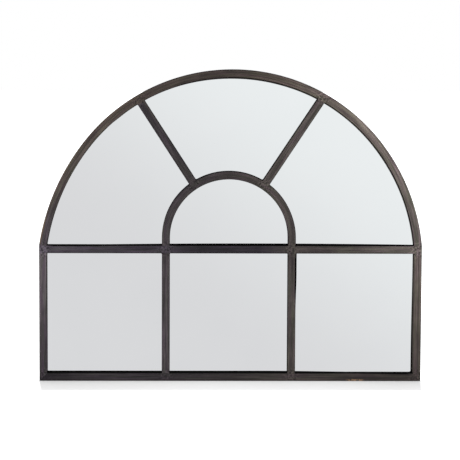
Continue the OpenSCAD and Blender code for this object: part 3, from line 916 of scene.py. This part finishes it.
def mirror_silver():
    """Silvered glass: clear reflections, a trace of haze, painted shade in black along some bars, and
    stained edges.
    """
    material, _, place = new_material("mirror_silver")
    x, _, z = axes(place)
    haze = grain(place, 9.0, 4.0)
    wisps = grain(stretched(place, (6.0, 6.0, 22.0), math.radians(25)), 1.0, 5.0)
    low = under(z, TRANSOM_TOP - 0.003, TRANSOM_TOP - 0.001)
    # Painted shade along the bars, in black on the glass
    black = silver_edge_shade(x, z, low)
    stained = stained_silver(x, z, low)
    shade_and_stain = largest(black, stained)
    colour = mixed(stepped(haze, 0.35, 0.75), (0.93, 0.945, 0.94, 1.0), (0.922, 0.938, 0.934, 1.0))
    stain = mixed(stepped(x, 0.10, 0.20), (0.052, 0.045, 0.042, 1.0), (0.092, 0.082, 0.074, 1.0))
    return finished(material, {
        "Base Color": mixed(black, mixed(stained, colour, stain), BLACK_PAINT_AND_SHADE),
        "Metallic": 1.0 - shade_and_stain,
        "Roughness": stepped(wisps, 0.4, 0.8, 0.004, 0.012) + shade_and_stain * 0.7,
        "Specular IOR Level": 0.02})


def repaint(node, finish):
    """Gives a CAD node its finish."""
    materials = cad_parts[node].data.materials
    materials.clear()
    materials.append(finish)


silver = mirror_silver()
for name in ("lower_left", "lower_centre", "lower_right", "inner_arch", "fan_left", "fan_top", "fan_right"):
    repaint("pane_" + name, silver)


# Foam tape and spacers: white double-sided foam strips hold each pane to the board, and black strips as
# thick as glass and tape lie round the panes, so that the screws don't crush the glass.
def foam_tape():
    """Closed-cell white foam with a fine pore texture."""
    material, _, place = new_material("foam_tape")
    pores = grain(place, 2400.0, 2.0)
    return finished(material, {
        "Base Color": mixed(stepped(pores, 0.4, 0.65), (0.72, 0.71, 0.68, 1.0), (0.80, 0.79, 0.77, 1.0)),
        "Roughness": 0.85,
        "Normal": bumped(pores, 0.4, 0.0002)})


def spacer_fibre():
    """Black fibreboard strip: matt, with short pale fibres on its cut edges."""
    material, _, place = new_material("spacer_fibre")
    fibres = grain(stretched(place, (300.0, 2600.0, 300.0)), 1.0, 4.0)
    specks = grain(place, 700.0, 3.0)
    colour = mixed(stepped(fibres, 0.5, 0.75), (0.010, 0.010, 0.010, 1.0), (0.026, 0.023, 0.020, 1.0))
    return finished(material, {
        "Base Color": mixed(stepped(specks, 0.62, 0.74, 0.0, 0.6), colour, (0.045, 0.038, 0.030, 1.0)),
        "Roughness": 0.9,
        "Specular IOR Level": 0.2,
        "Normal": bumped(fibres, 0.5, 0.0003)})


repaint("pane_tape", foam_tape())
fibre = spacer_fibre()
for name in ("bottom", "left", "right", "arch_left", "arch_right"):
    repaint("spacer_" + name, fibre)


# Backing board: 9 mm MDF sawn 2 mm smaller than the grille all round, its edges eased and painted black
# with a roller, screwed to the tubes from behind.
BOARD_BACK = -0.007
BOARD_FRONT = -0.016
BOARD_INSET = 0.002
BOARD_EASED = 0.0008
BOARD_STEP = 0.004


def outline_points(inset, step):
    """The grille's outline moved in by inset, anticlockwise seen from the front, from the lower right."""
    side = HALF_WIDTH - inset
    foot = BASE_Z + inset
    low_corners = [(-side, TRANSOM_TOP), (-side, foot), (side, foot), (side, TRANSOM_TOP)]
    return [(x, z) for x, _, z in arch_line(inset, step)] + low_corners


def plate(name, outline, back, front, eased_edge):
    """A flat plate with that outline, and eased edges."""
    work = bmesh.new()
    rings = []
    for depth, inward in ((back, eased_edge), (back - eased_edge, 0.0), (front + eased_edge, 0.0),
                          (front, eased_edge)):
        ring = []
        for i, (x, z) in enumerate(outline):
            before = Vector(outline[i - 1])
            after = Vector(outline[(i + 1) % len(outline)])
            run = (after - before).normalized()
            inner = Vector((x, z)) + inward * Vector((-run.y, run.x))
            ring.append(work.verts.new((inner.x, depth, inner.y)))
        rings.append(ring)
    work.faces.new(rings[0])
    work.faces.new(reversed(rings[-1]))
    bridge(work, rings)
    return added(name, kept_mesh(name, work))


def rolled_black_paint():
    """Black paint rolled on MDF: orange-peel stipple, a few thin places and scuffs."""
    material, _, place = new_material("rolled_black_paint")
    stipple = grain(place, 420.0, 3.0)
    thin = grain(place, 7.0, 5.0)
    scuffs = grain(stretched(place, (9.0, 9.0, 240.0), math.radians(18)), 1.0, 4.0)
    colour = mixed(stepped(thin, 0.45, 0.75), (0.017, 0.016, 0.016, 1.0), (0.030, 0.027, 0.025, 1.0))
    return finished(material, {
        "Base Color": mixed(stepped(scuffs, 0.64, 0.78, 0.0, 0.5), colour, (0.06, 0.055, 0.05, 1.0)),
        "Roughness": stepped(stipple, 0.3, 0.7, 0.55, 0.72),
        "Specular IOR Level": 0.4,
        "Normal": bumped(stipple, 0.35, 0.0004)})


board = plate(
    "backing_board_painted", outline_points(BOARD_INSET, BOARD_STEP), BOARD_BACK, BOARD_FRONT, BOARD_EASED)
board.data.materials.append(rolled_black_paint())
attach(board, "mirror")
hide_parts("backing_board")


# Board screws: zinc-plated pan-head self-tapping screws with a cross recess, which go through the board
# and the spacers into the back wall of the tubes.
SCREW_HEAD = 0.0036
SCREW_HEAD_HEIGHT = 0.0022
SCREW_SHANK = 0.00175
SCREW_ROOT = SCREW_SHANK * 0.76
SCREW_PITCH = 0.0014
SCREW_POINT = 0.003
THREAD_START = 0.0006
UNTHREADED = 0.004
CROSS_WIDTH = 0.0034
CROSS_BLADE = 0.0007
CROSS_HEIGHT = 0.0018
CROSS_DEPTH = 0.0014
BOARD_SCREW_LENGTH = 0.0185
BOARD_SCREW_INSET = 0.0065
RAIL_SCREWS_X = (0.1, 0.3)
STILE_SCREWS_UP = (0.040, 0.165, 0.290)
ARCH_HALF_SCREWS = 5


def lathed(profile, steps):
    """A closed round body: a profile of (radius, height) pairs turned round Z."""
    work = bmesh.new()
    rings = []
    for radius, height in profile:
        turns = [2 * math.pi * i / steps for i in range(steps if radius else 1)]
        rings.append([work.verts.new((radius * math.cos(a), radius * math.sin(a), height)) for a in turns])
    bridge(work, rings)
    return kept_mesh("lathed", work)


def cross_cutter():
    """The driver's cross, tapered to its tip, which sinks the recess of a screw head."""
    work = bmesh.new()
    for turn in (0.0, math.pi / 2):
        blade = bmesh.ops.create_cube(work, size=1.0)["verts"]
        for vertex in blade:
            is_high = vertex.co.z > 0
            taper = 1.0 if is_high else 0.45
            vertex.co = Vector((
                vertex.co.x * CROSS_WIDTH * taper, vertex.co.y * CROSS_BLADE * taper,
                CROSS_HEIGHT if is_high else 0.0))
        bmesh.ops.rotate(work, verts=blade, cent=(0, 0, 0), matrix=Matrix.Rotation(turn, 3, "Z"))
    return kept_mesh("cross_cutter", work)


def pan_head_screw(name, length):
    """One screw that points to -Z, with its head's seat at z = 0."""
    profile = [(0.0, SCREW_HEAD_HEIGHT)]
    for i in range(1, 9):
        a = math.radians(i * 90 / 8)
        profile.append((
            SCREW_HEAD * (0.58 + 0.42 * math.sin(a)),
            SCREW_HEAD_HEIGHT * (0.35 + 0.65 * math.cos(a) ** 0.8)))
    profile += [(SCREW_HEAD, SCREW_HEAD_HEIGHT * 0.12), (SCREW_HEAD - 0.0002, 0.0), (SCREW_SHANK, 0.0)]
    for i in range(int((length - UNTHREADED) / SCREW_PITCH)):
        z = -THREAD_START - i * SCREW_PITCH
        profile += [(SCREW_ROOT, z), (SCREW_SHANK, z - SCREW_PITCH / 2)]
    profile += [(SCREW_ROOT, SCREW_POINT - length), (0.0, -length)]
    body = added(name, lathed(profile, 24))
    cutter = added(name + "_cutter", cross_cutter())
    cutter.location.z = SCREW_HEAD_HEIGHT - CROSS_DEPTH
    sink = body.modifiers.new("recess", "BOOLEAN")
    sink.object = cutter
    sink.operation = "DIFFERENCE"
    sink.solver = "EXACT"
    sink.use_self = True
    mesh = bpy.data.meshes.new_from_object(body.evaluated_get(bpy.context.evaluated_depsgraph_get()))
    body.modifiers.remove(sink)
    body.data = mesh
    bpy.data.objects.remove(cutter)
    return body


def copies_tree():
    """Sets a piece at every point, its top towards the wall, each turned its own way."""
    tree, given = new_tree("Pieces at points", {"Piece": "Object", "Seed": "Int", "Finish": "Material"})
    one = add_node("GeometryNodeObjectInfo", {"Object": given["Piece"]}, "Geometry")
    turn = add_node(
        "FunctionNodeRandomValue",
        {"Min": (0.0, 0.0, 0.0), "Max": (0.0, 0.0, 6.283), "Seed": given["Seed"]}, data_type="FLOAT_VECTOR")
    to_wall = add_node("FunctionNodeEulerToRotation", {"Euler": (math.radians(-90), 0.0, 0.0)}, tree=tree)
    own_turn = add_node("FunctionNodeEulerToRotation", {"Euler": turn})
    both = add_node(
        "FunctionNodeRotateRotation", {"Rotation": to_wall, "Rotate By": own_turn}, rotation_space="LOCAL")
    points = add_node("GeometryNodeMeshToPoints", {"Mesh": given["Geometry"]})
    placed = add_node("GeometryNodeInstanceOnPoints", {"Points": points, "Instance": one, "Rotation": both})
    end_tree(tree, placed, given["Finish"])
    return tree


copies_at_points = copies_tree()


def set_out(name, piece, places, depth, seed, finish, crease):
    """One mesh of a piece's copies at places on a level; the piece itself is taken away."""
    points = bpy.data.meshes.new(name + "_places")
    points.from_pydata([(x, depth, z) for x, z in places], [], [])
    made = grown(name, points, copies_at_points, {"Piece": piece, "Seed": seed, "Finish": finish})
    bpy.data.objects.remove(piece)
    smooth(made.data, crease)
    return made


def zinc_plate():
    """Bright zinc over steel: pale grey with a clouded passivation and fine turning marks."""
    material, _, place = new_material("zinc_plate")
    clouds = grain(place, 180.0, 4.0)
    marks = grain(place, 1500.0, 3.0)
    return finished(material, {
        "Base Color": mixed(stepped(clouds, 0.35, 0.7), (0.50, 0.50, 0.49, 1.0), (0.38, 0.37, 0.34, 1.0)),
        "Metallic": 1.0,
        "Roughness": stepped(marks, 0.3, 0.7, 0.28, 0.45),
        "Normal": bumped(marks, 0.2, 0.00008)})


def arch_screw_place(side, angle):
    """A board screw's place in the arch, at that angle above the level."""
    radius, centre_x, centre_z = haunch(side) if angle < HAUNCH_ANGLE else (CROWN_RADIUS, CROWN_X, CROWN_Z)
    reach = radius - BOARD_SCREW_INSET
    return centre_x + side * reach * math.cos(angle), centre_z + reach * math.sin(angle)


zinc = zinc_plate()
board_screw_places = []
for side in (-1, 1):
    board_screw_places += [(side * x, BASE_Z + BOARD_SCREW_INSET) for x in RAIL_SCREWS_X]
    board_screw_places += [(side * (HALF_WIDTH - BOARD_SCREW_INSET), BASE_Z + up) for up in STILE_SCREWS_UP]
    arch_screw_step = (math.pi / 2 - springing_angle(side)) / ARCH_HALF_SCREWS
    board_screw_places += [
        arch_screw_place(side, math.pi / 2 - (i + 0.5) * arch_screw_step) for i in range(ARCH_HALF_SCREWS)]
board_screws = set_out(
    "board_screws_pan_head", pan_head_screw("one_board_screw", BOARD_SCREW_LENGTH), board_screw_places,
    BOARD_BACK, 11, zinc, 35)
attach(board_screws, "mirror")
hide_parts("board_screws")


# Hanger straps: nickel-plated steel strip folded double round the ring's wire, with rounded ends, each
# held to the board by two pan-head wood screws.
HOOK_X = 0.203
HANGER_HEIGHT = 0.580
PIVOT_Y = -0.00412
PIVOT_Z = BASE_Z + HANGER_HEIGHT
STRAP_BACK = -0.0046
STRAP_EASED = 0.00018
STRAP_SCREW_DROPS = (0.012, 0.028)
HANGER_SCREW_LENGTH = 0.0104


def nickel_plate():
    """Nickel over pressed steel: soft brushed grain down the strip, with faint yellowish clouds."""
    material, _, place = new_material("nickel_plate")
    brushed = grain(stretched(place, (2600.0, 2600.0, 90.0)), 1.0, 3.0)
    clouds = grain(place, 150.0, 4.0)
    colour = mixed(stepped(clouds, 0.4, 0.75), (0.56, 0.55, 0.53, 1.0), (0.43, 0.40, 0.35, 1.0))
    return finished(material, {
        "Base Color": mixed(stepped(brushed, 0.5, 0.8, 0.0, 0.4), colour, (0.66, 0.65, 0.63, 1.0)),
        "Metallic": 1.0,
        "Roughness": stepped(brushed, 0.3, 0.7, 0.24, 0.42),
        "Normal": bumped(brushed, 0.15, 0.00006)})


nickel = nickel_plate()
for name in ("hanger_strap_left", "hanger_strap_right"):
    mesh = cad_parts[name].data.copy()
    work = bmesh.new()
    work.from_mesh(mesh)
    bmesh.ops.remove_doubles(work, verts=work.verts, dist=1e-6)
    bmesh.ops.dissolve_limit(work, angle_limit=math.radians(1.0), verts=work.verts, edges=work.edges)
    sharp = [edge for edge in work.edges
             if len(edge.link_faces) == 2 and edge.calc_face_angle() > math.radians(50)]
    bmesh.ops.bevel(work, geom=sharp, offset=STRAP_EASED, segments=2, affect="EDGES", clamp_overlap=True)
    work.to_mesh(mesh)
    work.free()
    mesh.materials.clear()
    mesh.materials.append(nickel)
    smooth(mesh, 30)
    strap = added(name + "_pressed", mesh)
    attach(strap, "mirror")
    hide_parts(name)

hanger_screws = set_out(
    "hanger_screws_pan_head", pan_head_screw("one_hanger_screw", HANGER_SCREW_LENGTH),
    [(side * HOOK_X, PIVOT_Z - drop) for side in (-1, 1) for drop in STRAP_SCREW_DROPS],
    STRAP_BACK, 5, zinc, 35)
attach(hanger_screws, "mirror")
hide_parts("hanger_screws")


# D-rings: 3.2 mm steel wire bent to a D and butt welded, its straight side turning in the strap's eye.
# They hang down on the straps and swing up for the wall hooks.
RING_WIRE = 0.0016
RING_BAR_HALF = 0.009
RING_BEND = 0.004
RING_LEG = 0.003
RING_ROUND = RING_BAR_HALF + RING_BEND
RING_GAP = 0.0003
RING_LEAN = math.asin((STRAP_BACK + RING_WIRE + RING_GAP - PIVOT_Y) / (RING_BEND + RING_LEG + RING_ROUND))


def wire_tree():
    """Sweeps round wire along a closed line."""
    tree, given = new_tree("Wire ring", {"Wire radius": "Float", "Sides": "Int", "Finish": "Material"})
    line = add_node("GeometryNodeMeshToCurve", {"Mesh": given["Geometry"]})
    round_section = add_node(
        "GeometryNodeCurvePrimitiveCircle",
        {"Resolution": given["Sides"], "Radius": given["Wire radius"]}, mode="RADIUS")
    wire = add_node("GeometryNodeCurveToMesh", {"Curve": line, "Profile Curve": round_section})
    end_tree(tree, wire, given["Finish"])
    return tree


def ring_line():
    """The wire's centre line in the ring's own plane, as (x, drop) pairs, all round."""
    points = [(x * RING_BAR_HALF, 0.0) for x in (-1.0, -0.5, 0.0, 0.5)]
    for i in range(9):
        a = math.radians(90 - i * 90 / 8)
        points.append((RING_BAR_HALF + RING_BEND * math.cos(a), RING_BEND * (1 - math.sin(a))))
    for i in range(33):
        a = math.radians(i * 180 / 32)
        points.append((RING_ROUND * math.cos(a), RING_BEND + RING_LEG + RING_ROUND * math.sin(a)))
    for i in range(8):
        a = math.radians(180 - i * 90 / 8)
        points.append((-RING_BAR_HALF + RING_BEND * math.cos(a), RING_BEND * (1 - math.sin(a))))
    return points


wire_sweep = wire_tree()
for side, name in ((-1, "left"), (1, "right")):
    turned = [(
        side * HOOK_X + x,
        PIVOT_Y + drop * math.sin(RING_LEAN),
        PIVOT_Z - drop * math.cos(RING_LEAN)) for x, drop in ring_line()]
    mesh = bpy.data.meshes.new("ring_line")
    mesh.from_pydata(turned, [(i, (i + 1) % len(turned)) for i in range(len(turned))], [])
    ring = grown("hanger_ring_" + name + "_wire", mesh, wire_sweep,
                 {"Wire radius": RING_WIRE, "Sides": 24, "Finish": nickel})
    ring.data.shade_smooth()
    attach(ring, name + "_ring")
    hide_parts("hanger_ring_" + name)


# Wall bumpers: four moulded black rubber feet with softened rims, stuck to the board, which keep the
# mirror's back off the wall.
BUMPER_HEIGHT = 0.007
BUMPER_ROOT = 0.007
BUMPER_TIP = 0.006
BUMPER_RIM = 0.0009
BUMPER_PLACES = ((0.420, 0.032), (0.300, 0.560))


def moulded_rubber():
    """Black rubber: matt, with a fine moulded grain and a little dust on it."""
    material, _, place = new_material("moulded_rubber")
    skin = grain(place, 1800.0, 3.0)
    dust = grain(place, 160.0, 4.0)
    return finished(material, {
        "Base Color": mixed(stepped(dust, 0.5, 0.8), (0.012, 0.012, 0.012, 1.0), (0.032, 0.031, 0.029, 1.0)),
        "Roughness": stepped(skin, 0.3, 0.7, 0.62, 0.8),
        "Specular IOR Level": 0.35,
        "Normal": bumped(skin, 0.4, 0.0001)})


bumper_profile = [(0.0, 0.0), (BUMPER_ROOT, 0.0), (BUMPER_ROOT, 0.0006)]
bumper_profile += [(
    BUMPER_TIP - BUMPER_RIM + BUMPER_RIM * math.cos(math.radians(a)),
    BUMPER_HEIGHT - BUMPER_RIM + BUMPER_RIM * math.sin(math.radians(a))) for a in (0, 22, 45, 68, 90)]
bumper_profile += [(0.0036, BUMPER_HEIGHT), (0.0030, BUMPER_HEIGHT - 0.0005), (0.0, BUMPER_HEIGHT - 0.0006)]
bumpers = set_out(
    "wall_bumpers_moulded", added("one_bumper", lathed(bumper_profile, 40)),
    [(side * x, BASE_Z + up) for side in (-1, 1) for x, up in BUMPER_PLACES],
    BOARD_BACK, 3, moulded_rubber(), 40)
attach(bumpers, "mirror")
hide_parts("wall_bumpers")


# Studio: a pale floor that only shows the soft shadow under the mirror, partly real and partly painted
# shadow in the floor's glow, a white surround, and soft lamps overhead and at both sides.
FLOOR_HALF = 14
FLOOR_GAP = 0.0004
# Painted shadow: less glow at the mirror than at the band's edge
FLOOR_GLOW_AT_MIRROR = 0.365
FLOOR_GLOW_AT_EDGE = 0.50
SHADOW_REACH = 0.150
SHADOW_REACH_BEHIND = 0.030
SHADOW_TAPER = 0.0114
FLOOR_TONE = (0.734, 0.729, 0.748, 1.0)
SKY_TONE = (0.888, 0.908, 0.921, 1.0)
WHITE = (1.0, 1.0, 1.0, 1.0)


def studio_floor():
    """Pale floor that the camera sees as white but for the soft shadow round the mirror's foot, partly real
    and partly painted shadow in its glow.
    """
    material, tree, place = new_material("studio_floor")
    x, y, _ = axes(place)
    away = largest((TUBE_FRONT - y) / SHADOW_REACH, (y - TUBE_FRONT) / SHADOW_REACH_BEHIND)
    share = reckoned("MINIMUM", away, 1.0)
    # Painted shadow: the camera's glow is lower near the mirror's foot and towards the sides, and the band
    # is cut off white at its edges
    glow_with_painted_shadow = (
        share * (FLOOR_GLOW_AT_EDGE - FLOOR_GLOW_AT_MIRROR) + FLOOR_GLOW_AT_MIRROR
        + stepped(abs(x - 0.03), 0.12, 0.42, 0.015, -0.04))
    out_at_side = abs(x) + share * SHADOW_TAPER
    white = largest(
        stepped(away, 0.80, 1.16), stepped(out_at_side, HALF_WIDTH - 0.003, HALF_WIDTH + 0.007))
    is_seen = add_node("ShaderNodeLightPath", output="Is Camera Ray", tree=tree)
    return finished(material, {
        "Base Color": mixed(grain(place, 60.0, 3.0), (0.41, 0.41, 0.41, 1.0), (0.43, 0.43, 0.43, 1.0)),
        "Roughness": 1.0,
        "Specular IOR Level": 0.0,
        "Emission Color": WHITE,
        "Emission Strength": (glow_with_painted_shadow + white) * is_seen})


floor_mesh = bpy.data.meshes.new("floor")
floor_mesh.from_pydata(
    [(x * FLOOR_HALF, y * FLOOR_HALF, BASE_Z - FLOOR_GAP) for x, y in ((-1, -1), (1, -1), (1, 1), (-1, 1))],
    [], [(0, 1, 2, 3)])
floor = added("floor", floor_mesh)
floor.data.materials.append(studio_floor())
floor.visible_glossy = False

# Glossy rays alone see a pale room, graded from its floor to its walls, which is what the panes reflect
world = bpy.data.worlds.new("studio")
world.use_nodes = True
bpy.context.scene.world = world
tree = world.node_tree
tree.nodes.clear()
x, y, z = axes(add_node("ShaderNodeTexCoord", output="Generated", tree=tree))
forward = largest(y * -1.0, 0.3)
slope = x / forward * 0.6 + z / forward * 0.8
reflected = mixed(stepped(slope, -0.1094, -0.006), FLOOR_TONE, SKY_TONE)
in_camera, in_gloss, in_glass = [
    add_node("ShaderNodeLightPath", output="Is " + ray + " Ray", tree=tree)
    for ray in ("Camera", "Glossy", "Transmission")]
surround, reflection, plain_white = [
    add_node("ShaderNodeBackground", {"Color": colour, "Strength": strength}, tree=tree)
    for colour, strength in ((WHITE, 0.62), (reflected, 1.0), (WHITE, 1.0))]
soft = add_node("ShaderNodeMixShader", {0: in_gloss, 1: surround, 2: reflection})
whole = add_node("ShaderNodeMixShader", {0: largest(in_camera, in_glass), 1: soft, 2: plain_white})
fill_inputs(tree.nodes.new("ShaderNodeOutputWorld"), {"Surface": whole})


def softbox(name, place, target, width, height, power):
    """A rectangular soft lamp aimed at a point."""
    lamp = bpy.data.lights.new(name, "AREA")
    lamp.shape = "RECTANGLE"
    lamp.size = width
    lamp.size_y = height
    lamp.energy = power
    aimed(name, lamp, Vector(place), Vector(target))


softbox("overhead_softbox", (0.0, 0.2, 2.3), (0.0, 0.0, -0.3), 2.4, 1.6, 40)
softbox("right_softbox", (2.3, -2.6, 0.9), (0.0, 0.0, -0.2), 1.0, 1.4, 42)
softbox("left_softbox", (-2.4, -2.8, 0.5), (0.0, 0.0, -0.2), 0.9, 1.2, 20)

bpy.context.scene.view_settings.view_transform = "Standard"
